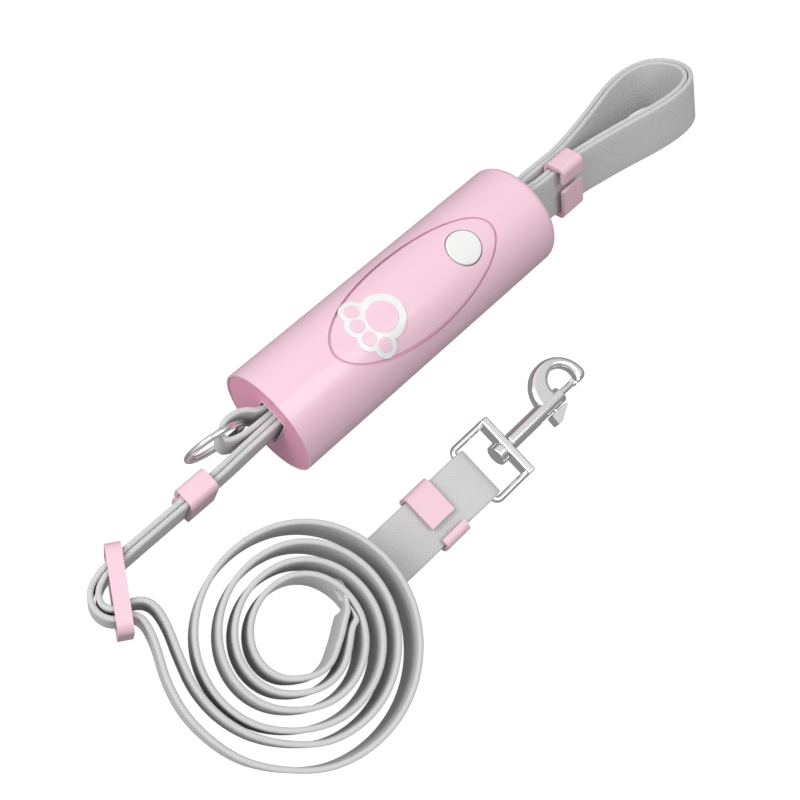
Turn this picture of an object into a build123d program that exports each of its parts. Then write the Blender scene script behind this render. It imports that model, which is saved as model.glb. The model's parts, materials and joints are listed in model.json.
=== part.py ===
"""Retractable webbing dog leash: tubular grip with push-button web lock, wrist loop, coiled
double leash, bolt snap. Millimetres. The origin is on the surface under the middle of the
grip, +X runs along the grip towards the wrist loop and +Z is up."""
from build123d import *
import math
import os

# ---- driving dimensions ----
GRIP_R = 20.0            # outside radius of the grip
GRIP_HALF = 62.0         # half the grip's length
WALL = 2.5               # grip tube wall
WEB_W = 20.0             # webbing width
WEB_PITCH = 2.0          # one layer of webbing in a stack
WEB_T = 1.95             # one layer's solid, so that layers in a stack don't overlap
LIFT = 1.8               # how far keepers hold the webbing off the surface
KEEPER_WALL = 1.5
KEEPER_GAP = 0.3         # clearance of a keeper round its webbing
WRIST_ROLL = 30.0        # how far the wrist loop leans over, degrees
WRIST_BRANCH = 3.4       # middle of the branch that its keeper holds, off the grip's axis
WRIST_KEEPER_X = 17.0    # that keeper's distance from the grip
STRIP_Y = -60.0          # line of the flat strip and the hook

AXIS_Z = GRIP_R
BORE_R = GRIP_R - WALL
CAP_T = 2.5              # leash-end cap's disc, let into the tube's end
CAP_R = 19.3
CAP_INSET = 0.3          # how far its face lies inside the tube's rim
CAP_SPIGOT = 6.0         # how far its spigot reaches into the tube
SPIGOT_R = BORE_R - 0.2
WRIST_CAP_T = 4.0

GRIP_WEB_X0 = -52.5      # the four layers inside the grip start here

# slots in the end caps
SLOT_W, SLOT_T = 22.6, 12.0
BUSH_W, BUSH_T = 21.5, 10.8  # opening of the bushing in the slot
BUSH_PROUD = 0.2

# oval panel on top of the grip
OVAL_X, OVAL_A, OVAL_B = 1.2, 38.0, 15.4
OVAL_GROOVE = 1.0
OVAL_FLOOR_R = 19.0
BUTTON_X, BUTTON_R, BUTTON_TRAVEL = 25.0, 6.4, 1.4
BUTTON_HOLE_R = BUTTON_R + 0.35
PAW_X, PAW_R = -15.0, 5.5
TOES = [(-21.3, 7.8), (-23.8, 2.9), (-23.7, -2.9), (-20.5, -7.6)]
TOE_R = 2.4
PAW_RIM, TOE_RIM = 2.9, 1.8    # white margin round the pad and round each toe

# lock inside the grip
HOUSING_X0, HOUSING_X1 = 4.0, 38.0
JAW_Y, JAW_Z, JAW_PIN_R = 10.5, 29.5, 1.25
JAW_X0, JAW_X1 = 18.3, 31.7
LOCK_Z0, LOCK_Z1 = 12.0, 28.0
CHANNEL_T, CHANNEL_W = 9.4, 21.4
SHELF_Z = 31.6
SCREW_XS = (10.0, 34.0)
SCREW_R, SCREW_HEAD_R, SCREW_Z = 1.2, 2.15, 0.5

# coil standing on edge
COIL_X, COIL_Y = -101.5, -59.5
COIL_R = 39.0
COIL_HALF_PITCH = 6.0    # half of what the outline loses in its second half turn
COIL_AXIS_DEG = 47.0     # direction in which the second half turn's centre lies
COIL_HOLE_R = 10.0
COIL_FOOT_X = -140.0     # the coil tilts about this line, where it touches the surface
STRIP_X0 = -84.0         # where the flat strip starts, under the coil
COIL_TILT = math.degrees(math.atan(3.9 / (STRIP_X0 - COIL_FOOT_X)))

# hook
BAR_X, HOOK_Z, WIRE_R = -15.5, 4.5, 1.25
LOOP_HALF = 11.8
BRIDGE_X0, BRIDGE_X1 = -0.3, 3.0
BARREL_R, BARREL_X0, BARREL_X1 = 3.1, 3.3, 32.0
STUD_R, STUD_HEAD_R = 1.75, 4.1
BOLT_R, BOLT_X0, BOLT_X1, BOLT_TRAVEL = 1.25, 20.0, 40.0, 7.0
HOOK_X, HOOK_Y, HOOK_R = 33.3, -58.7, 12.2
EYE_X, EYE_Y, EYE_R = 35.6, -57.0, 5.6

# accessory ring and its tab
RING_X, RING_Y, RING_MEAN_R, RING_WIRE_R = -79.2, 6.5, 10.6, 1.1
RING_YAW = -8.5
TAB_W = 17.6

EDGE_Z = LIFT + WEB_W / 2      # middle of webbing that stands on edge in its keepers
LAYERS = [3 * WEB_PITCH / 2, WEB_PITCH / 2, -WEB_PITCH / 2, -3 * WEB_PITCH / 2]

BASE = (Align.CENTER, Align.CENTER, Align.MIN)
parts = {}


# ---- helpers ----
def block(x0, x1, y0, y1, z0, z1):
    return Pos((x0 + x1) / 2, (y0 + y1) / 2, (z0 + z1) / 2) * Box(x1 - x0, y1 - y0, z1 - z0)


def rod_x(radius, x0, x1, y=0.0, z=AXIS_Z):
    return Pos(x0, y, z) * Rot(0, 90, 0) * Cylinder(radius, x1 - x0, align=BASE)


def rod_y(radius, y0, y1, x, z):
    return Pos(x, y0, z) * Rot(-90, 0, 0) * Cylinder(radius, y1 - y0, align=BASE)


def rod_z(radius, x, y, z0, z1):
    return Pos(x, y, z0) * Cylinder(radius, z1 - z0, align=BASE)


def slot_bar(width, thickness, x0, x1, roll=0.0, corner=1.0):
    """A bar along X with the rounded section of a webbing slot, rolled about the grip axis."""
    bar = extrude(RectangleRounded(width, thickness, corner), x1 - x0)
    return Pos(x0, 0, AXIS_Z) * Rot(roll, 0, 0) * Rot(0, 90, 0) * bar


def shell(inner_r, outer_r, x0, x1):
    return rod_x(outer_r, x0, x1) - rod_x(inner_r, x0, x1)


def corner_radii(points):
    """Each corner's arc takes 0.45 of its shorter run."""
    radii = []
    for before, here, after in zip(points, points[1:], points[2:]):
        run_in, run_out = Vector(*here) - Vector(*before), Vector(*after) - Vector(*here)
        half_turn = math.radians(run_in.get_angle(run_out)) / 2
        radii.append(0.45 * min(run_in.length, run_out.length) / math.tan(half_turn))
    return radii


def webbing(name, plane, points, width=WEB_W, edgewise=False, thickness=WEB_T):
    """Webbing along straight runs and tangent arcs in a plane. It stands across the plane,
    or lies in the plane and bends edgewise."""
    radii = corner_radii(points)
    print(name, "radii", [round(r, 1) for r in radii])
    path = plane * FilletPolyline(*points, radius=radii)
    section_plane = Plane(origin=path @ 0, x_dir=plane.z_dir, z_dir=path % 0)
    size = (thickness, width) if edgewise else (width, thickness)
    solid = sweep(section_plane * Rectangle(*size), path=path)
    print(name, "volume over section times length",
          round(solid.volume / (width * thickness * path.length), 4))
    return solid


def oval_prism(grow):
    base = Ellipse(OVAL_A + grow, OVAL_B + grow)
    return Pos(OVAL_X, 0, AXIS_Z) * extrude(base, GRIP_R + 5)


def paw_outline(pad_r, toe_r):
    """The pad and four toes as one prism."""
    shape = Pos(PAW_X, 0) * Circle(pad_r)
    for x, y in TOES:
        shape += Pos(x, y) * Circle(toe_r)
    return Pos(0, 0, AXIS_Z) * extrude(shape, GRIP_R + 5)


def screw_head(x):
    return Pos(x, 0, SCREW_Z) * Cone(SCREW_HEAD_R, SCREW_R, 1.3, align=BASE)


# ---- grip ----
def make_grip_tube():
    x0, x1 = -GRIP_HALF, GRIP_HALF - WRIST_CAP_T
    tube = shell(BORE_R, GRIP_R, x0, x1)
    tube = fillet(tube.edges().filter_by(GeomType.CIRCLE).sort_by(Axis.X)[1], 0.4)
    tube -= rod_x(CAP_R, x0, x0 + CAP_INSET + CAP_T)
    tube -= oval_prism(0) & shell(OVAL_FLOOR_R, GRIP_R + 3, x0, x1)
    tube -= rod_z(BUTTON_HOLE_R, BUTTON_X, 0, AXIS_Z, 2 * GRIP_R)
    for x in SCREW_XS:
        tube -= rod_z(SCREW_R, x, 0, -1, 4) + screw_head(x) + rod_z(SCREW_HEAD_R, x, 0, -1, SCREW_Z)
    return tube


def end_cap(radius, outer_x, inner_x, spigot_x, roll, edge):
    """A disc with a spigot. outer_x is its outside face."""
    low, high = min(outer_x, inner_x), max(outer_x, inner_x)
    disc = rod_x(radius, low, high)
    rim = disc.edges().filter_by(GeomType.CIRCLE).sort_by(Axis.X)
    disc = fillet(rim[0] if outer_x < 0 else rim[-1], edge)
    low, high = min(inner_x, spigot_x), max(inner_x, spigot_x)
    cap = disc + shell(SPIGOT_R - 2, SPIGOT_R, low, high)
    return cap - slot_bar(SLOT_W, SLOT_T, -GRIP_HALF - 2, GRIP_HALF + 2, roll, 2.0)


def make_caps():
    face = -GRIP_HALF + CAP_INSET
    inner = face + CAP_T
    parts["leash_end_cap"] = end_cap(CAP_R, face, inner, inner + CAP_SPIGOT, 0, 0.3)
    inner = GRIP_HALF - WRIST_CAP_T
    parts["wrist_end_cap"] = end_cap(GRIP_R, GRIP_HALF, inner, inner - CAP_SPIGOT, -WRIST_ROLL, 3.0)


def make_bushings():
    for name, x0, x1, roll in (
        ("leash_slot_bushing", -GRIP_HALF + CAP_INSET - BUSH_PROUD, -GRIP_HALF + CAP_T + 1.0, 0),
        ("wrist_slot_bushing", GRIP_HALF - WRIST_CAP_T - 1.0, GRIP_HALF + BUSH_PROUD, -WRIST_ROLL),
    ):
        body = slot_bar(SLOT_W, SLOT_T, x0, x1, roll, 2.0)
        parts[name] = body - slot_bar(BUSH_W, BUSH_T, x0 - 1, x1 + 1, roll, 1.2)


def make_fascia():
    panel = oval_prism(-OVAL_GROOVE) & shell(OVAL_FLOOR_R, GRIP_R, -GRIP_HALF, GRIP_HALF)
    panel -= rod_z(BUTTON_HOLE_R, BUTTON_X, 0, AXIS_Z, 2 * GRIP_R)
    recess = shell(GRIP_R - 0.6, GRIP_R + 2, -GRIP_HALF, GRIP_HALF)
    parts["oval_fascia"] = panel - (paw_outline(PAW_R + PAW_RIM, TOE_R + TOE_RIM) & recess)


def make_paw():
    outer = paw_outline(PAW_R + PAW_RIM, TOE_R + TOE_RIM)
    inner = paw_outline(PAW_R, TOE_R)
    plate = outer & shell(GRIP_R - 0.6, GRIP_R + 0.4, -GRIP_HALF, GRIP_HALF)
    pads = inner & shell(GRIP_R - 0.2, GRIP_R + 0.7, -GRIP_HALF, GRIP_HALF)
    parts["paw_plate"] = plate - (inner & shell(GRIP_R - 0.2, GRIP_R + 2, -GRIP_HALF, GRIP_HALF))
    parts["paw_pads"] = pads


# ---- lock ----
def make_housing():
    body = rod_x(BORE_R, HOUSING_X0, HOUSING_X1)
    body -= slot_bar(CHANNEL_W, CHANNEL_T, HOUSING_X0 - 1, HOUSING_X1 + 1, 0, 0.8)
    body -= block(JAW_X0 - 0.6, JAW_X1 + 0.6, 4.0, 14.2, LOCK_Z0, SHELF_Z)
    body -= block(JAW_X0 - 0.6, JAW_X1 + 0.6, 4.6, 13.4, SHELF_Z - 2, 40)
    body -= rod_z(8.2, BUTTON_X, 0, SHELF_Z, 40)
    body -= rod_x(JAW_PIN_R, 12, HOUSING_X1 + 1, JAW_Y, JAW_Z)
    body -= block(JAW_X0, JAW_X1, -6.7, -4.0, LOCK_Z0, LOCK_Z1)
    for x in SCREW_XS:
        body -= rod_z(SCREW_R, x, 0, 0, 8.2)
    return body


def make_anvil():
    """Fixed toothed plate that the jaw presses the webbing against."""
    plate = block(JAW_X0, JAW_X1, -6.7, -4.3, LOCK_Z0, LOCK_Z1)
    for i in range(6):
        plate -= block(JAW_X0 + 1.0 + 2.1 * i, JAW_X0 + 1.9 + 2.1 * i, -4.9, -4.0,
                       LOCK_Z0 - 1, LOCK_Z1 + 1)
    return plate


def make_jaw():
    """Bell crank: the button lowers its short arm and the toothed arm swings off the webbing."""
    outline = Polyline((4.4, 13.5), (7.6, 13.5), (9.5, 18.0), (12.0, 26.5), (12.6, 30.5),
                       (11.0, 32.2), (6.0, 32.6), (6.0, 31.2), (7.9, 29.8), (7.9, 26.0),
                       (4.4, 22.0), close=True)
    profile = Plane.YZ.offset(JAW_X0) * make_face(outline)
    jaw = extrude(profile, JAW_X1 - JAW_X0, dir=(1, 0, 0))
    jaw += rod_x(2.6, JAW_X0, JAW_X1, JAW_Y, JAW_Z)
    jaw -= rod_x(JAW_PIN_R + 0.05, 0, 50, JAW_Y, JAW_Z)
    for i in range(6):
        jaw -= block(JAW_X0 + 1.0 + 2.1 * i, JAW_X0 + 1.9 + 2.1 * i, 4.0, 5.0, 13, 22)
    jaw -= rod_y(2.7, 8.0, 20, BUTTON_X, 17.0)
    return jaw


def make_button():
    cap = rod_z(BUTTON_R, BUTTON_X, 0, 34.0, 2 * GRIP_R + 2)
    cap &= rod_x(GRIP_R + 0.5, BUTTON_X - 8, BUTTON_X + 8)
    cap = fillet(cap.edges().sort_by(Axis.Z)[-1], 0.5)
    flange = rod_z(7.3, BUTTON_X, 0, 34.2, 35.6)
    foot = block(BUTTON_X - 3, BUTTON_X + 3, 4.8, 6.6, 33.0, 34.6)
    return cap + flange + foot - rod_z(4.3, BUTTON_X, 0, 33, 38.4)


def coil_spring(radius, wire_r, length, turns, place):
    path = Helix(pitch=length / turns, height=length, radius=radius)
    section = Plane(origin=path @ 0, z_dir=path % 0) * Circle(wire_r)
    return place * sweep(section, path=path)


def make_springs():
    wire = 0.3
    parts["button_spring"] = coil_spring(3.3, wire, 6.0, 5, Pos(BUTTON_X, 0, SHELF_Z + 0.4))
    parts["jaw_spring"] = coil_spring(2.1, wire, 5.2, 5, Pos(BUTTON_X, 8.45, 17.0) * Rot(-90, 0, 0))
    parts["bolt_spring"] = coil_spring(0.85, 0.22, 11.0, 9,
                                       Pos(8.5, STRIP_Y, HOOK_Z) * Rot(0, 90, 0))


def make_lock():
    parts["grip_tube"] = make_grip_tube()
    parts["lock_housing"] = make_housing()
    parts["clamp_anvil"] = make_anvil()
    parts["lock_jaw"] = make_jaw()
    parts["jaw_pin"] = rod_x(JAW_PIN_R, 12, HOUSING_X1, JAW_Y, JAW_Z)
    parts["release_button"] = make_button()
    screws = [rod_z(SCREW_R, x, 0, 1.2, 8.2) + screw_head(x)
              - Pos(x, 0, SCREW_Z) * Box(0.6, 3.2, 1.0) for x in SCREW_XS]
    parts["housing_screws"] = Compound(children=screws)


# ---- webbing ----
def make_grip_webbing():
    """Four layers through the grip, turning over from the leash slot to the wrist slot."""
    sections = []
    turn = ((GRIP_WEB_X0, 0), (38, 0), (46, WRIST_ROLL / 2), (54, WRIST_ROLL), (GRIP_HALF, WRIST_ROLL))
    for x, roll in turn:
        place = Pos(x, 0, AXIS_Z) * Rot(-roll, 0, 0) * Rot(0, 90, 0)
        sections.append(place * Rectangle(WEB_W, 4 * WEB_PITCH))
    parts["webbing_in_grip"] = loft(sections, ruled=True)


# routes of the two leash straps after the grip: strap B is the outer one of the bight and coil
LEAD = [(GRIP_WEB_X0, AXIS_Z), (-68.0, AXIS_Z), (-81.2, EDGE_Z), (-126.0, EDGE_Z)]
BIGHT_B = [(-126.0, -1.0), (-133.0, -1.0), (-139.5, -3.6), (-142.0, -9.6), (-139.6, -15.4),
           (-134.4, -16.8), (-132.4, -21.0), (-134.6, -29.0), (-140.0, -40.0), (-142.6, -53.0),
           (-140.6, -68.5), (-135.0, -79.6), (-127.4, -87.3)]
BIGHT_A = [(-126.0, -3.0), (-132.4, -3.0), (-137.1, -5.1), (-139.4, -9.2), (-137.2, -13.2),
           (-130.8, -14.4), (-127.2, -18.6), (-128.0, -26.0), (-132.0, -36.4), (-135.4, -47.6),
           (-135.2, -60.4), (-130.4, -73.2), (-122.6, -82.2)]


def coil_solid():
    """Outer shape of the spiral: two half turns of different radius, joined by a step."""
    start, turn = COIL_AXIS_DEG + 180, math.radians(COIL_AXIS_DEG)
    shift = (COIL_HALF_PITCH * math.cos(turn), COIL_HALF_PITCH * math.sin(turn))
    first = CenterArc((0, 0), COIL_R, start, 180)
    second = CenterArc(shift, COIL_R - COIL_HALF_PITCH, COIL_AXIS_DEG, 180)
    outline = make_face([first, second, Line(second @ 1, first @ 0)])
    solid = extrude(outline - Pos(0.4 * shift[0], 0.4 * shift[1]) * Circle(COIL_HOLE_R), WEB_W)
    hinge = Axis((COIL_FOOT_X, 0, 0), (0, 1, 0))
    return (Pos(COIL_X, COIL_Y, 0) * solid).rotate(hinge, -COIL_TILT)


def make_leash():
    for name, y in (("b", LAYERS[2]), ("a", LAYERS[3])):
        side = Plane(origin=(0, y, 0), x_dir=(1, 0, 0), z_dir=(0, -1, 0))
        parts["leash_lead_" + name] = webbing("lead " + name, side, LEAD, edgewise=True)
    plan = Plane.XY.offset(EDGE_Z)
    parts["leash_bight_b"] = webbing("bight b", plan, BIGHT_B)
    parts["leash_bight_a"] = webbing("bight a", plan, BIGHT_A)
    parts["leash_coil"] = coil_solid()


def make_strip():
    """The double flat strip: strap A goes round the hook's bar and comes back as strap B."""
    side = Plane(origin=(0, STRIP_Y, 0), x_dir=(1, 0, 0), z_dir=(0, -1, 0))
    low, high = LIFT + WEB_PITCH / 2, LIFT + 3 * WEB_PITCH / 2
    fold = WIRE_R + 0.35 + WEB_T / 2
    nose = BAR_X + fold
    lower = [(STRIP_X0, 1.0), (-60.0, 1.0), (-54.0, low), (-28.0, low), (-21.0, HOOK_Z - fold),
             (nose, HOOK_Z - fold), (nose, HOOK_Z)]
    upper = [(STRIP_X0, 3.0), (-60.0, 3.0), (-54.0, high), (-28.0, high), (-21.0, HOOK_Z + fold),
             (nose, HOOK_Z + fold), (nose, HOOK_Z)]
    parts["leash_strip_lower"] = strip_solid(side, lower, fold)
    parts["leash_strip_upper"] = strip_solid(side, upper, fold)


def strip_solid(plane, points, fold):
    radii = [30.0, 30.0, 8.0, 8.0, 0.98 * fold]
    path = plane * FilletPolyline(*points, radius=radii)
    section = Plane(origin=path @ 0, x_dir=plane.z_dir, z_dir=path % 0) * Rectangle(WEB_W, WEB_T)
    return sweep(section, path=path)


def make_ring_tab():
    route = [(GRIP_WEB_X0, LAYERS[0]), (-63.0, LAYERS[0]), (-67.2, 7.9), (-73.6, 9.1),
             (-77.8, 7.0), (-78.4, 3.6), (-75.0, 1.9), (-69.0, LAYERS[1]), (GRIP_WEB_X0, LAYERS[1])]
    parts["ring_tab"] = webbing("tab", Plane.XY.offset(AXIS_Z), route, width=TAB_W)
    ring = Torus(RING_MEAN_R, RING_WIRE_R)
    parts["accessory_ring"] = Pos(RING_X, RING_Y, AXIS_Z) * Rot(0, 0, RING_YAW) * Rot(90, 0, 0) * ring


WRIST_OUTER = [(0.0, 3.0), (1.5, 3.0), (9.0, 4.1), (29.5, 4.1), (50.0, 8.0), (75.0, 14.6), (91.0, 14.0),
               (99.0, 6.0), (99.0, -6.0), (91.0, -14.0), (75.0, -14.6), (50.0, -8.0),
               (29.5, -4.4), (9.0, -4.4), (1.5, -3.0), (0.0, -3.0)]
WRIST_INNER = [(0.0, 1.0), (1.5, 1.0), (9.0, 2.1), (29.5, 2.1), (50.4, 5.9), (75.6, 12.5), (89.8, 11.9),
               (96.6, 5.2), (96.6, -5.2), (89.8, -11.9), (75.6, -12.5), (50.4, -5.9),
               (29.5, -2.4), (9.0, -2.4), (1.5, -1.0), (0.0, -1.0)]


def wrist_plane():
    """Local x along the grip, local y across the loop, local z across the webbing."""
    lean = math.radians(WRIST_ROLL)
    return Plane(origin=(GRIP_HALF, 0, AXIS_Z), x_dir=(1, 0, 0),
                 z_dir=(0, math.sin(lean), math.cos(lean)))


def make_wrist_loop():
    parts["wrist_loop_outer"] = webbing("wrist outer", wrist_plane(), WRIST_OUTER)
    parts["wrist_loop_inner"] = webbing("wrist inner", wrist_plane(), WRIST_INNER)


# ---- keepers ----
def keeper(slack, length, gap_from, gap_to):
    """C-shaped clip round two layers: local x across the webbing, local y through it, local z
    along it. The gap between its lips is on the +y side, where it stands off by the slack."""
    inner_w, inner_t = WEB_W + 2 * KEEPER_GAP, 2 * WEB_PITCH + 2 * KEEPER_GAP + slack
    outer = RectangleRounded(inner_w + 2 * KEEPER_WALL, inner_t + 2 * KEEPER_WALL, 2.7)
    profile = outer - RectangleRounded(inner_w, inner_t, 0.8)
    middle, depth = inner_t / 2 + KEEPER_WALL / 2, 3 * KEEPER_WALL
    profile -= Pos((gap_from + gap_to) / 2, middle) * Rectangle(gap_to - gap_from, depth)
    return extrude(Pos(0, slack / 2) * profile, length)


def make_keepers():
    z_strip = LIFT + WEB_PITCH
    across_strip = Plane(origin=(-41.2, STRIP_Y, z_strip), x_dir=(0, 1, 0), z_dir=(1, 0, 0))
    parts["hook_keeper"] = across_strip * keeper(0.8, 11.0, -7.8, -3.0)
    on_edge = Plane(origin=(-99.6, 2 * LAYERS[2], EDGE_Z), x_dir=(0, 0, -1), z_dir=(1, 0, 0))
    parts["leash_keeper"] = on_edge * keeper(1.0, 11.0, -2.4, 2.4)
    loop = wrist_plane()
    branch = loop.origin + Vector(WRIST_KEEPER_X, 0, 0) - loop.y_dir * WRIST_BRANCH
    at_wrist = Plane(origin=branch, x_dir=loop.z_dir, z_dir=(1, 0, 0))
    parts["wrist_keeper"] = at_wrist * keeper(1.8, 11.0, 1.4, 5.4)


def make_bight_ring():
    outer = RectangleRounded(28.8, 2 * EDGE_Z, 4.0)
    inner = RectangleRounded(26.0, 2 * EDGE_Z - 2 * KEEPER_WALL, 1.6)
    band = extrude(outer - inner, 2.5, both=True)
    parts["bight_ring"] = Pos(-131.96, -8.88, EDGE_Z) * Rot(0, 0, 58) * Rot(90, 0, 0) * band


# ---- hook ----
def make_hook_loop():
    y_side = LOOP_HALF
    points = [(BRIDGE_X0 + 1.5, -y_side), (BAR_X, -y_side), (BAR_X, y_side),
              (BRIDGE_X0 + 1.5, y_side)]
    path = Pos(0, STRIP_Y, HOOK_Z) * FilletPolyline(*points, radius=2.2)
    section = Plane(origin=path @ 0, z_dir=path % 0) * Circle(WIRE_R)
    wire = sweep(section, path=path)
    bridge = block(BRIDGE_X0, BRIDGE_X1, STRIP_Y - 12.9, STRIP_Y + 12.9, HOOK_Z - 3, HOOK_Z + 3)
    bridge = fillet(bridge.edges(), 0.7)
    return bridge + wire - rod_x(STUD_R + 0.07, -2, 5, STRIP_Y, HOOK_Z)


def make_stud():
    head = rod_x(STUD_HEAD_R, BRIDGE_X0 - 3.8, BRIDGE_X0 - 0.3, STRIP_Y, HOOK_Z)
    head = fillet(head.edges().filter_by(GeomType.CIRCLE), 0.6)
    return head + rod_x(STUD_R, BRIDGE_X0 - 0.5, 7.0, STRIP_Y, HOOK_Z)


def make_hook_body():
    curve = Pos(HOOK_X, HOOK_Y) * Circle(HOOK_R) - Pos(EYE_X, EYE_Y) * Circle(EYE_R)
    curve &= Pos(HOOK_X, STRIP_Y - 1.6 + 20) * Rectangle(60, 40)
    curve -= Pos(HOOK_X, STRIP_Y - 1.6 - 20) * Rectangle(60, 40)
    curve = fillet(curve.vertices().sort_by(Axis.X)[-1], 3.0)
    hook = extrude(Plane.XY.offset(HOOK_Z - 2.6) * curve, 5.2)
    hook = fillet(hook.faces().sort_by(Axis.Z)[-1].edges() + hook.faces().sort_by(Axis.Z)[0].edges(),
                  1.7)
    barrel = rod_x(BARREL_R, BARREL_X0, BARREL_X1, STRIP_Y, HOOK_Z)
    barrel = fillet(barrel.edges().filter_by(GeomType.CIRCLE), 0.5)
    body = hook + barrel
    body -= rod_x(STUD_R, 0, 7.0, STRIP_Y, HOOK_Z)
    body -= rod_x(BOLT_R + 0.07, 8.0, BOLT_X1 + 0.1, STRIP_Y, HOOK_Z)
    return body - block(17.8, 27.2, STRIP_Y - 5, STRIP_Y, HOOK_Z - 1.2, HOOK_Z + 1.2)


def make_bolt():
    pin = rod_x(BOLT_R, BOLT_X0, BOLT_X1, STRIP_Y, HOOK_Z)
    pin = fillet(pin.edges().filter_by(GeomType.CIRCLE).sort_by(Axis.X)[-1], 0.4)
    parts["bolt_pin"] = pin - rod_y(0.9, STRIP_Y - 2, STRIP_Y, 26.0, HOOK_Z)
    tab = Polyline((22.3, STRIP_Y - 3.5), (22.1, STRIP_Y - 7.6), (24.0, STRIP_Y - 7.6),
                   (32.0, STRIP_Y - 3.5), close=True)
    tab = extrude(Plane.XY.offset(HOOK_Z - 2.5) * make_face(tab), 5.0)
    tab = fillet(tab.edges().filter_by(Axis.Z), 0.5)
    parts["thumb_knob"] = tab + rod_y(0.9, STRIP_Y - 3.8, STRIP_Y, 26.0, HOOK_Z)


def make_hook():
    parts["hook_loop"] = make_hook_loop()
    parts["swivel_stud"] = make_stud()
    parts["hook_body"] = make_hook_body()
    make_bolt()


make_lock()
make_caps()
make_bushings()
make_fascia()
make_paw()
make_springs()
make_grip_webbing()
make_leash()
make_strip()
make_ring_tab()
make_wrist_loop()
make_keepers()
make_bight_ring()
make_hook()

os.makedirs("parts", exist_ok=True)
for node, solid in parts.items():
    export_step(solid, "parts/" + node + ".step")
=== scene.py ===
"""The visual model of the retractable leash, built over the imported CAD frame.

Lengths in the routes are millimetres, as in the part's source; everything given to Blender is metres."""
import json
import math

import bpy
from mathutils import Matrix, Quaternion, Vector


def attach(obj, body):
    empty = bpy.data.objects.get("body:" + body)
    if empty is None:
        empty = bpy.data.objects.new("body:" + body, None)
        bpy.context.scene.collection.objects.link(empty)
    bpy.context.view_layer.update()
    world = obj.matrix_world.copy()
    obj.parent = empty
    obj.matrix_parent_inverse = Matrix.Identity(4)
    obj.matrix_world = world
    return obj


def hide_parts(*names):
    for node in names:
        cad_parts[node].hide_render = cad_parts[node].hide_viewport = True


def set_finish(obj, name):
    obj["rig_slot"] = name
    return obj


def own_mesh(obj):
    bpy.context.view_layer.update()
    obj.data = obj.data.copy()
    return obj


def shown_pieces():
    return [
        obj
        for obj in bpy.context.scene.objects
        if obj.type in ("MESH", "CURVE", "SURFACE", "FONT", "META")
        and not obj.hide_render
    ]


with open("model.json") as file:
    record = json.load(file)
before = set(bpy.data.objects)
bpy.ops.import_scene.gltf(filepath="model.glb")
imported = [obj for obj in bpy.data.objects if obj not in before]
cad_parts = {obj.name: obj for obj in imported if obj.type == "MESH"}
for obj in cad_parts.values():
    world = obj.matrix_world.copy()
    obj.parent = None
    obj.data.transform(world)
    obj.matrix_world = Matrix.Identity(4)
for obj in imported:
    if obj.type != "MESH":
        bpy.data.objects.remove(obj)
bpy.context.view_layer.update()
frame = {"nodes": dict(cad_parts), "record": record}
nodes = frame["nodes"]
scene = bpy.context.scene

MM = 0.001
UP = (0, 0, 1)
ACROSS = (0, 1, 0)

# driving dimensions, as in the part's source
WEB_W, WEB_T = 20.0, 1.9
AXIS_Z = 20.0
EDGE_Z = 11.8            # middle of webbing that stands on edge in its keepers
GRIP_END = 62.0
GRIP_WEB_X0 = -52.5
TAB_W = 17.6
COIL_X, COIL_Y = -101.5, -59.5
COIL_START = math.radians(226)
COIL_FOOT_X, COIL_SLOPE = -140.0, 0.0696
STRIP_Y = -60.0
HOOK_Z, FOLD = 4.5, 2.575
NOSE_X = -15.5 + FOLD
BUTTON_X = 25.0
WRIST_LENGTH = 98.0
WRIST_SWAY, WRIST_DROOP = 1.8, 3.5        # how far its tip is off the grip's axis
WRIST_ROLL, WRIST_TWIST = 30.0, 8.0       # its lean at the grip, and how much more at its tip

# shares
SELVEDGE = 0.85                           # the rounding of the webbing's edge, of half its thickness
LIFT_X, LIFT_Y = -0.22, 0.04              # how far a raised point of the coil moves, of its lift

# the weave's pitch across and along, in metres
PITCH_ACROSS, PITCH_ALONG = 0.0009, 0.0010


# ---- camera ----
def make_camera():
    """Looks down on the leash from its coiled end, turned so that the grip runs up to the right."""
    data = bpy.data.cameras.new("camera")
    data.sensor_width = 36.0
    data.lens = 52.014
    camera = bpy.data.objects.new("camera", data)
    scene.collection.objects.link(camera)
    place = Vector((-169.03, -43.54, 383.29)) * MM
    aim = Vector((-22.29, -23.16, 20.0)) * MM
    roll = Quaternion((0, 0, 1), math.radians(39.66))
    camera.rotation_mode = "QUATERNION"
    camera.rotation_quaternion = (aim - place).to_track_quat("-Z", "Y") @ roll
    camera.location = place
    scene.camera = camera


# ---- webbing ----
def spline_points(points, steps=12):
    """Points along the NURBS spline that has these control points."""
    curve = bpy.data.curves.new("route", "CURVE")
    curve.dimensions = "3D"
    curve.resolution_u = steps
    spline = curve.splines.new("NURBS")
    spline.points.add(len(points) - 1)
    for control, point in zip(spline.points, points):
        control.co = (*point, 1.0)
    spline.order_u = 3
    spline.use_endpoint_u = True
    holder = bpy.data.objects.new("route", curve)
    mesh = bpy.data.meshes.new_from_object(holder)
    found = [vertex.co.copy() for vertex in mesh.vertices]
    bpy.data.objects.remove(holder)
    bpy.data.curves.remove(curve)
    bpy.data.meshes.remove(mesh)
    return found


def web_section(width, thickness):
    """Outline of the webbing's section: (across, through), with rounded selvedges."""
    half_w, half_t = width / 2, thickness / 2
    corner = half_t * SELVEDGE
    outline = []
    for quarter in range(4):
        side_w = 1 if quarter in (0, 3) else -1
        side_t = 1 if quarter in (0, 1) else -1
        for step in range(5):
            angle = math.pi / 2 * (quarter + step / 4)
            outline.append((side_w * (half_w - corner) + corner * math.cos(angle),
                            side_t * (half_t - corner) + corner * math.sin(angle)))
        if quarter in (0, 2):
            side = -side_w
            outline += [(-side * (half_w - corner) * share, side_t * half_t)
                        for share in (0.5, 0.0, -0.5)]
    return outline


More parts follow.
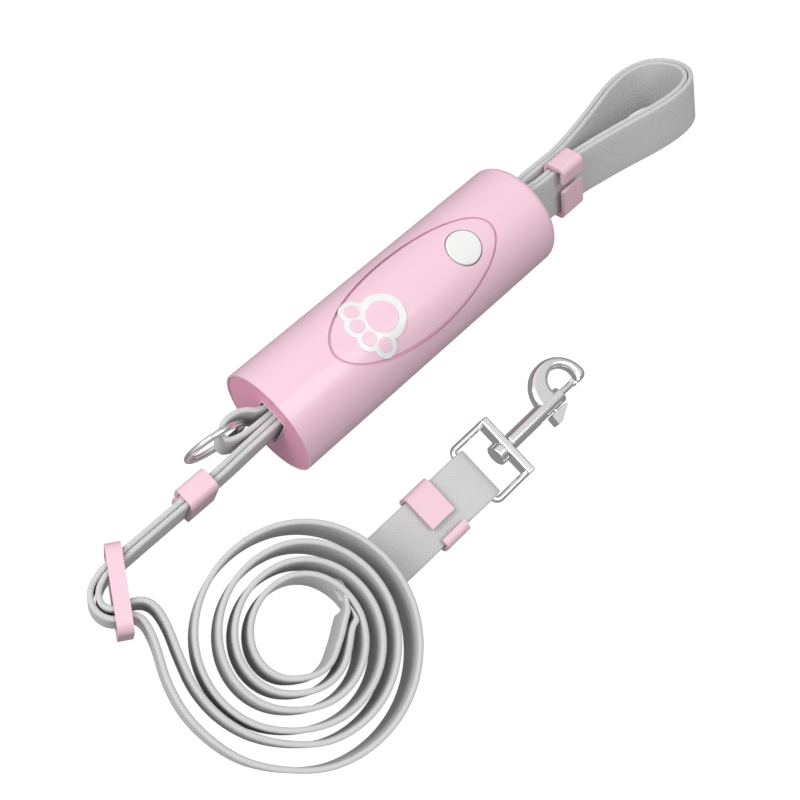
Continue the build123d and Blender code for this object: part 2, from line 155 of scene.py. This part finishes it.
def ribbon(name, route, width=WEB_W, thickness=WEB_T):
    """Webbing along a route of (centre, edge direction) pairs. Returns it and its path."""
    centres = [point * MM for point in spline_points([centre for centre, edge in route])]
    edges = spline_points([edge for centre, edge in route])
    outline = web_section(width * MM, thickness * MM)
    around = [0.0]
    for (a, b), (c, d) in zip(outline, outline[1:] + outline[:1]):
        around.append(around[-1] + math.hypot(c - a, d - b))
    vertices, along = [], []
    for i, centre in enumerate(centres):
        ahead = centres[min(i + 1, len(centres) - 1)] - centres[max(i - 1, 0)]
        ahead.normalize()
        edge = (edges[i] - ahead * edges[i].dot(ahead)).normalized()
        face = ahead.cross(edge)
        vertices += [centre + edge * a + face * b for a, b in outline]
        along.append(along[-1] + (centre - centres[i - 1]).length if i else 0.0)
    count = len(outline)
    faces, uvs = [], []
    for i in range(len(centres) - 1):
        for j in range(count):
            k = (j + 1) % count
            faces.append((i * count + j, (i + 1) * count + j, (i + 1) * count + k, i * count + k))
            uvs += [(around[j], along[i]), (around[j], along[i + 1]),
                    (around[j + 1], along[i + 1]), (around[j + 1], along[i])]
    mesh = bpy.data.meshes.new(name)
    last = (len(centres) - 1) * count
    ends = [tuple(range(count)), tuple(range(last + count - 1, last - 1, -1))]
    mesh.from_pydata(vertices, [], faces + ends)
    layer = mesh.uv_layers.new(name="weave")
    for loop, uv in enumerate(uvs):
        layer.data[loop].uv = uv
    for polygon in mesh.polygons[:-2]:
        polygon.use_smooth = True
    mesh.validate()
    piece = bpy.data.objects.new(name, mesh)
    scene.collection.objects.link(piece)
    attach(piece, "grip")
    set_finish(piece, "webbing")
    return piece, centres


def upright(points, z=EDGE_Z):
    return [((x, y, z), UP) for x, y in points]


def coil_turns(radii):
    """Turns on edge. Each radius is reached a quarter turn after the one before, starting at
    COIL_START, and the turns lie on the coil's slope."""
    steps = 5
    cut_in = math.cos(math.pi / 4 / steps)
    points = []
    for quarter, (here, after) in enumerate(zip(radii, radii[1:])):
        for i in range(steps):
            share = (i + 0.5) / steps
            reach = (here + (after - here) * share) / cut_in
            angle = COIL_START + math.pi / 2 * (quarter + share)
            points.append(raised(COIL_X + reach * math.cos(angle), COIL_Y + reach * math.sin(angle)))
    return points


def raised(x, y):
    """A point of the coil, whose right side lies on the strip."""
    lift = COIL_SLOPE * max(0.0, x - COIL_FOOT_X)
    return (x + LIFT_X * lift, y + LIFT_Y * lift, WEB_W / 2 + lift), UP


def lead(y):
    """From inside the grip down to the height of the keepers."""
    route = [((GRIP_WEB_X0, y, AXIS_Z), UP), ((-68.0, y, AXIS_Z), UP), ((-81.2, y, EDGE_Z), UP)]
    return route + [((-94.4, y, EDGE_Z), UP)]


def strip(z, side):
    """The flat part: under the coil, through the keeper and round the hook's bar to its nose."""
    low = z + 1.8
    levels = [(-75.5, z), (-60.0, z), (-54.0, low), (-28.0, low), (-21.0, HOOK_Z + side * FOLD),
              (NOSE_X, HOOK_Z + side * FOLD), (NOSE_X, HOOK_Z)]
    return [((x, STRIP_Y, level), ACROSS) for x, level in levels]


def make_straps():
    """Strap A is the inner one of the bight and of the coil, and the lower one of the strip."""
    bight_a = [(-126.0, -3.0), (-132.4, -3.0), (-137.1, -5.1), (-139.4, -9.2), (-137.2, -13.2),
               (-130.8, -14.4), (-127.2, -18.6), (-128.0, -26.0), (-132.0, -36.4),
               (-135.4, -47.6), (-135.2, -60.4), (-130.4, -73.2)]
    bight_b = [(-126.0, -1.0), (-133.0, -1.0), (-139.5, -3.6), (-142.0, -9.6), (-139.6, -15.4),
               (-134.4, -16.8), (-132.4, -21.0), (-134.6, -29.0), (-140.0, -40.0),
               (-142.6, -53.0), (-140.6, -68.5), (-135.0, -79.6)]
    tail_a = [raised(-90.6, -66.0), raised(-86.4, -63.2), raised(-83.0, -61.4),
              ((-81.8, -61.0, 13.4), (0, 1, 1)), ((-81.1, -60.6, 12.0), ACROSS),
              ((-80.7, -60.2, 7.5), ACROSS), ((-80.1, STRIP_Y, 1.6), ACROSS)]
    tail_b = [raised(-87.0, -66.9), raised(-84.8, -66.2), raised(-82.9, -65.6),
              ((-81.6, -65.0, 14.0), (0, 1, 1)), ((-80.2, -63.0, 13.0), ACROSS),
              ((-78.8, -60.8, 9.0), ACROSS), ((-78.0, STRIP_Y, 3.9), ACROSS)]
    turns_a = coil_turns([31.0, 30.5, 32.0, 25.8, 20.0, 20.0, 21.7, 16.0, 10.5, 10.9])
    turns_b = coil_turns([38.6, 37.5, 38.2, 33.4, 26.0, 25.6, 26.2, 21.0, 15.0, 14.6])
    route_a = lead(-3.0) + upright(bight_a) + turns_a + tail_a + strip(1.0, -1)
    route_b = lead(-1.0) + upright(bight_b) + turns_b + tail_b + strip(3.0, 1)
    for name, route, exit_y, replaced in (
        ("strap_a", route_a, -3.0, ("leash_lead_a", "leash_bight_a", "leash_coil", "leash_strip_lower")),
        ("strap_b", route_b, -1.0, ("leash_lead_b", "leash_bight_b", "leash_coil", "leash_strip_upper")),
    ):
        piece, path = ribbon(name, route)
        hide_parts(*replaced)


def make_tab():
    route = [(GRIP_WEB_X0, 3.0), (-63.0, 3.0), (-67.2, 7.9), (-73.6, 9.1), (-77.8, 7.0),
             (-78.4, 3.6), (-75.0, 1.9), (-69.0, 1.0), (GRIP_WEB_X0, 1.0)]
    piece, _ = ribbon("tab", upright(route, AXIS_Z), width=TAB_W)
    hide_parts("ring_tab")


def wrist_point(along, out, lean):
    """A point of the wrist loop: so far from the grip and so far out, leaning and drooping."""
    share = along / WRIST_LENGTH
    lean = math.radians(lean)
    outward = (0, math.cos(lean), -math.sin(lean))
    centre = (GRIP_END + along, -WRIST_SWAY * share, AXIS_Z - WRIST_DROOP * share)
    edge = (0, math.sin(lean), math.cos(lean))
    return tuple(c + out * o for c, o in zip(centre, outward)), edge


def make_wrist_loop():
    outer = [(0, 3.0), (1.5, 3.0), (9, 4.1), (20, 4.1), (29.5, 4.1), (50, 8.0), (75, 14.6),
             (91, 14.0), (99, 6.0), (99, -6.0), (91, -14.0), (75, -14.6), (50, -8.0), (29.5, -4.4),
             (20, -4.4), (9, -4.4), (1.5, -3.0), (0, -3.0)]
    inner = [(0, 1.0), (1.5, 1.0), (9, 2.1), (20, 2.1), (29.5, 2.1), (50.4, 5.9), (75.6, 12.5), (89.8, 11.9),
             (96.6, 5.2), (96.6, -5.2), (89.8, -11.9), (75.6, -12.5), (50.4, -5.9), (29.5, -2.4),
             (20, -2.4), (9, -2.4), (1.5, -1.0), (0, -1.0)]
    for side, points in (("outer", outer), ("inner", inner)):
        route = [wrist_point(along, out, WRIST_ROLL + WRIST_TWIST * along / WRIST_LENGTH)
                 for along, out in points]
        piece, _ = ribbon("wrist_" + side, route)
        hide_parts("wrist_loop_" + side)


# ---- springs ----
def make_springs():
    """Copies of the three springs, each with a mesh of its own, attached to the body that carries it."""
    for name, body, joint, axis, anchor, keep in (
        ("button_spring", "grip", "button_press", (0, 0, 1), (BUTTON_X, 0, 31.7), 0.76),
        ("jaw_spring", "grip", "jaw_turn", (0, 1, 0), (BUTTON_X, 14.0, 17.0), 0.1),
        ("bolt_spring", "hook", "bolt_slide", (1, 0, 0), (8.3, STRIP_Y, HOOK_Z), 0.36),
    ):
        coil = nodes[name].copy()
        coil.data = nodes[name].data.copy()
        coil.name = "wound_" + name
        scene.collection.objects.link(coil)
        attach(coil, body)
        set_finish(coil, "steel")
        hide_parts(name)
        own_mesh(coil)


# ---- materials ----
def colour(red, green, blue):
    """An sRGB colour, 0 to 255, as linear light."""
    def linear(value):
        value /= 255
        return value / 12.92 if value <= 0.04045 else ((value + 0.055) / 1.055) ** 2.4
    return (linear(red), linear(green), linear(blue), 1.0)


def plain(name, base, roughness, metallic=0.0, coat=0.0):
    material = bpy.data.materials.new(name)
    material.use_nodes = True
    shader = material.node_tree.nodes["Principled BSDF"]
    shader.inputs["Base Color"].default_value = base
    shader.inputs["Roughness"].default_value = roughness
    shader.inputs["Metallic"].default_value = metallic
    shader.inputs["Coat Weight"].default_value = coat
    return material


def webbing_material():
    """Plain weave from the strip's own coordinates: u across and v along, in metres."""
    material = plain("webbing", colour(205, 205, 205), 0.85)
    tree = material.node_tree
    shader = tree.nodes["Principled BSDF"]
    shader.inputs["Sheen Weight"].default_value = 0.25
    shader.inputs["Specular IOR Level"].default_value = 0.25
    place = tree.nodes.new("ShaderNodeUVMap")
    place.uv_map = "weave"
    split = tree.nodes.new("ShaderNodeSeparateXYZ")
    tree.links.new(place.outputs["UV"], split.inputs[0])
    waves = []
    for axis, pitch in (("X", PITCH_ACROSS), ("Y", PITCH_ALONG)):
        scale = tree.nodes.new("ShaderNodeMath")
        scale.operation = "MULTIPLY"
        scale.inputs[1].default_value = 2 * math.pi / pitch
        tree.links.new(split.outputs[axis], scale.inputs[0])
        wave = tree.nodes.new("ShaderNodeMath")
        wave.operation = "SINE"
        tree.links.new(scale.outputs[0], wave.inputs[0])
        waves.append(wave)
    weave = tree.nodes.new("ShaderNodeMath")
    weave.operation = "MULTIPLY"
    tree.links.new(waves[0].outputs[0], weave.inputs[0])
    tree.links.new(waves[1].outputs[0], weave.inputs[1])
    bump = tree.nodes.new("ShaderNodeBump")
    bump.inputs["Strength"].default_value = 0.35
    bump.inputs["Distance"].default_value = 0.00012
    tree.links.new(weave.outputs[0], bump.inputs["Height"])
    tree.links.new(bump.outputs["Normal"], shader.inputs["Normal"])
    tint = tree.nodes.new("ShaderNodeMapRange")
    tint.inputs["From Min"].default_value = -1.0
    tree.links.new(weave.outputs[0], tint.inputs["Value"])
    mix = tree.nodes.new("ShaderNodeMix")
    mix.data_type = "RGBA"
    mix.inputs[6].default_value = colour(186, 186, 186)
    mix.inputs[7].default_value = colour(206, 206, 206)
    tree.links.new(tint.outputs["Result"], mix.inputs[0])
    tree.links.new(mix.outputs[2], shader.inputs["Base Color"])
    return material


def paint():
    finishes = {
        "grip_shell": plain("grip_shell", colour(231, 193, 209), 0.35, coat=0.3),
        # grip_trim is the end cap: the shell's own pink material, given a deeper, darker pink as painted
        # shade, because the cap's face turns away from the light
        "grip_trim": plain("grip_trim", colour(240, 162, 194), 0.35, coat=0.3),
        "white_plastic": plain("white_plastic", colour(226, 226, 225), 0.3, coat=0.3),
        "keeper_plastic": plain("keeper_plastic", colour(228, 192, 205), 0.4),
        "inner_plastic": plain("inner_plastic", colour(190, 190, 192), 0.5),
        "steel": plain("steel", colour(190, 190, 192), 0.3, metallic=1.0),
        "chrome": plain("chrome", colour(248, 248, 249), 0.12, metallic=1.0),
        "webbing": webbing_material(),
    }
    slots = {part["node"]: part["material_slot"] for part in frame["record"]["subparts"]}
    for name, node in nodes.items():
        node.data.materials.clear()
        node.data.materials.append(finishes[slots[name]])
    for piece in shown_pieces():
        if "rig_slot" in piece:
            piece.data.materials.clear()
            piece.data.materials.append(finishes[piece["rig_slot"]])


# ---- studio ----
def make_floor():
    """White paper that glows evenly, and lights and shows in nothing that lies on it."""
    reach, depth = 3.0, -0.0002
    corners = [(-reach, -reach, depth), (reach, -reach, depth), (reach, reach, depth),
               (-reach, reach, depth)]
    mesh = bpy.data.meshes.new("floor")
    mesh.from_pydata(corners, [], [(0, 1, 2, 3)])
    floor = bpy.data.objects.new("floor", mesh)
    scene.collection.objects.link(floor)
    paper = plain("paper", (0.2, 0.2, 0.2, 1), 0.9)
    shader = paper.node_tree.nodes["Principled BSDF"]
    shader.inputs["Specular IOR Level"].default_value = 0.0
    shader.inputs["Emission Color"].default_value = (1, 1, 1, 1)
    shader.inputs["Emission Strength"].default_value = 0.96
    floor.data.materials.append(paper)
    floor.visible_diffuse = False
    floor.visible_glossy = False


def make_sky():
    """White above the leash's far side and grey away from it, which polished metal shows."""
    world = bpy.data.worlds.new("studio")
    world.use_nodes = True
    tree = world.node_tree
    direction = tree.nodes.new("ShaderNodeTexCoord")
    towards = tree.nodes.new("ShaderNodeVectorMath")
    towards.operation = "DOT_PRODUCT"
    towards.inputs[1].default_value = (-0.32, 0.38, 0.87)
    ramp = tree.nodes.new("ShaderNodeValToRGB")
    ramp.color_ramp.elements[0].position = 0.0
    ramp.color_ramp.elements[0].color = (0.28, 0.28, 0.28, 1)
    ramp.color_ramp.elements[1].position = 0.8
    ramp.color_ramp.elements[1].color = (0.82, 0.82, 0.82, 1)
    tree.links.new(direction.outputs["Generated"], towards.inputs[0])
    tree.links.new(towards.outputs["Value"], ramp.inputs["Fac"])
    tree.links.new(ramp.outputs["Color"], tree.nodes["Background"].inputs["Color"])
    tree.nodes["Background"].inputs["Strength"].default_value = 0.95
    scene.world = world


def add_softbox(name, place, size, power):
    light = bpy.data.lights.new(name, "AREA")
    light.size = size
    light.energy = power
    holder = bpy.data.objects.new(name, light)
    holder.location = place
    holder.rotation_mode = "QUATERNION"
    holder.rotation_quaternion = (-Vector(place)).to_track_quat("-Z", "Y")
    scene.collection.objects.link(holder)


def make_studio():
    make_floor()
    make_sky()
    add_softbox("key", (-0.50, 0.38, 0.60), 0.45, 3.4)
    add_softbox("fill", (0.10, -0.24, 0.85), 0.5, 2.4)
    scene.view_settings.view_transform = "Standard"


make_camera()
make_straps()
make_tab()
make_wrist_loop()
make_springs()
paint()
make_studio()
